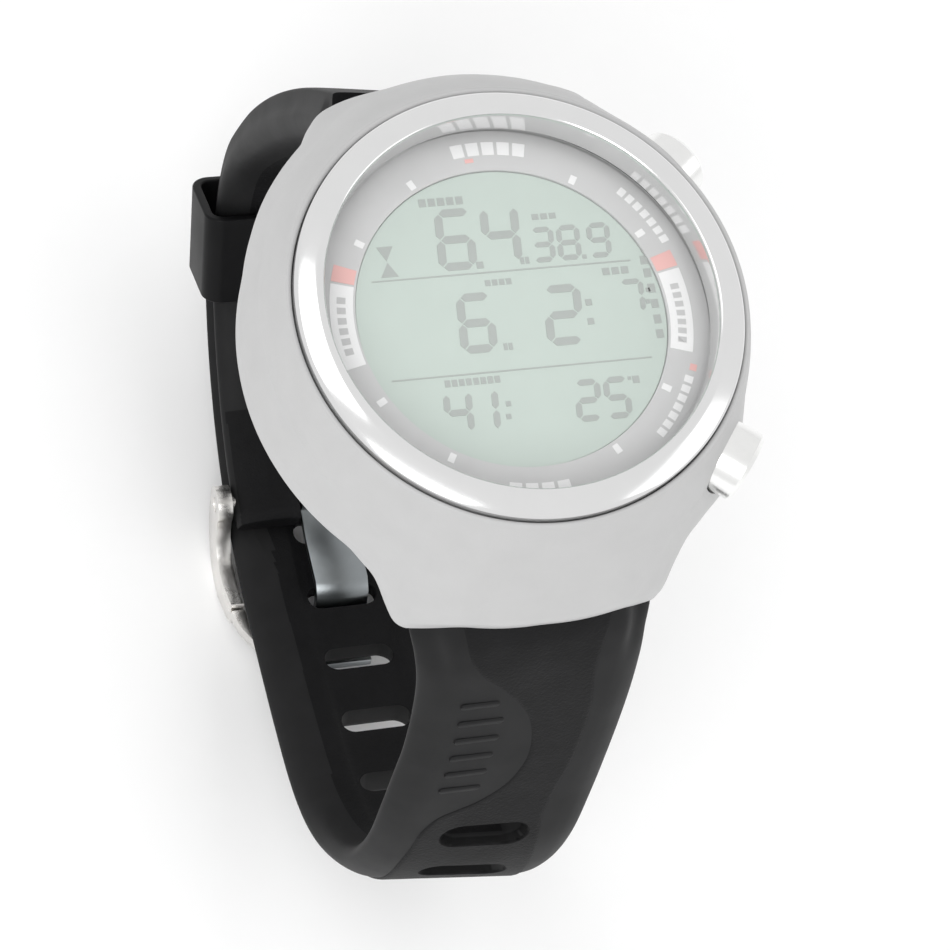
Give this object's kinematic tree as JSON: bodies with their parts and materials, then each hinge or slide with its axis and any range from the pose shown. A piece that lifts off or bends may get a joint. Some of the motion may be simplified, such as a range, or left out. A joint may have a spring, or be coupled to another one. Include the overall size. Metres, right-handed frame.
{
  "type": "wrist dive computer",
  "caption": "Wrist dive computer with a round display, two steel push buttons and a rubber strap buckled in a closed loop, shown with a free keeper.",
  "frame": {"origin": "centre of the flat case back, where it lies on the wrist", "axes": "+Z is the display's outward normal, +Y points to 12 o'clock and +X to 3 o'clock, the button side; the strap loop hangs below, towards -Z"},
  "size_m": [0.0592, 0.1062, 0.1133],
  "materials": {
    "case_plastic": "fine matte texture",
    "bezel_steel": "polished",
    "steel": "brushed",
    "spring_steel": "drawn wire",
    "lens_glass": "clear polished",
    "ring_print": "satin with printed marks",
    "display": "liquid-crystal cell with grey-green background",
    "backlight_film": "translucent film",
    "strap_rubber": "smooth satin elastomer",
    "inlay_rubber": "grained elastomer",
    "keeper_rubber": "smooth elastomer",
    "seal_rubber": "greased rubber",
    "board": "solder mask",
    "chip_black": "moulded",
    "connector": "layered elastomer",
    "frame_plastic": "moulded",
    "brass": "plated",
    "cell_steel": "nickel plated",
    "sensor_ceramic": "ceramic"
  },
  "bodies": {
    "case": {"backlight": "backlight_film", "battery_contact_centre": "brass", "battery_contact_side": "brass", "battery_tray": "frame_plastic", "bezel": "bezel_steel", "buckle_pin": "steel", "button_switches": "chip_black", "buzzer": "brass", "case_back": "steel", "case_back_gasket": "seal_rubber", "case_back_screws": "steel", "case_body": "case_plastic", "circuit_board": "board", "connector_strips": "connector", "crystal": "cell_steel", "dial_ring": "ring_print", "down_button_seal": "seal_rubber", "down_button_spring": "spring_steel", "lcd_cell": "display", "lens": "lens_glass", "lens_gasket": "seal_rubber", "long_strap": "strap_rubber", "long_strap_inlay": "inlay_rubber", "memory_chip": "chip_black", "module_frame": "frame_plastic", "pressure_sensor": "sensor_ceramic", "processor": "chip_black", "sensor_seal": "seal_rubber", "short_strap": "strap_rubber", "short_strap_inlay": "inlay_rubber", "strap_pins": "steel", "up_button_seal": "seal_rubber", "up_button_spring": "spring_steel"},
    "up_button": {"up_button": "steel", "up_button_clip": "spring_steel"},
    "down_button": {"down_button": "steel", "down_button_clip": "spring_steel"},
    "cover_seal": {"battery_cover_seal": "seal_rubber"},
    "battery_cover": {"battery_cover": "case_plastic"},
    "battery": {"battery": "cell_steel"},
    "buckle_frame": {"buckle_frame": "steel"},
    "buckle_tongue": {"buckle_tongue": "steel"},
    "keeper": {"keeper_loop": "keeper_rubber"}
  },
  "joints": [
    {"name": "up_button_press", "type": "slide", "parent": "case", "child": "up_button", "axis": [-0.788, -0.6157, 0], "range_m": [0, 0.001], "stiffness_N_per_m": 350, "springref_m": -0.0008, "deforming": ["up_button_spring"]},
    {"name": "down_button_press", "type": "slide", "parent": "case", "child": "down_button", "axis": [-0.788, 0.6157, 0], "range_m": [0, 0.001], "stiffness_N_per_m": 350, "springref_m": -0.0008, "deforming": ["down_button_spring"]},
    {"name": "battery_cover_lift", "type": "slide", "parent": "case", "child": "cover_seal", "axis": [0, 0, -1], "range_m": [0, 0.01]},
    {"name": "battery_cover_turn", "type": "hinge", "parent": "cover_seal", "child": "battery_cover", "pos_m": [0, -0.006, 0], "axis": [0, 0, 1], "range_deg": [0, 60]},
    {"name": "battery_drop", "type": "slide", "parent": "case", "child": "battery", "axis": [0, 0, -1], "range_m": [0, 0.005]},
    {"name": "buckle_rock", "type": "hinge", "parent": "case", "child": "buckle_frame", "pos_m": [0, 0.0155, -0.08674], "axis": [1, 0, 0], "range_deg": [0, 0.8]},
    {"name": "tongue_rock", "type": "hinge", "parent": "case", "child": "buckle_tongue", "pos_m": [0, 0.0155, -0.08674], "axis": [1, 0, 0], "range_deg": [0, 0.8]},
    {"name": "keeper_slide", "type": "hinge", "parent": "case", "child": "keeper", "pos_m": [0, 0.02659, -0.05702], "axis": [1, 0, 0], "range_deg": [-8, 20]}
  ],
  "couplings": [
    {"joint": "battery_drop", "follows": "battery_cover_lift", "ratio": 0.5},
    {"joint": "tongue_rock", "follows": "buckle_rock", "ratio": 1}
  ]
}
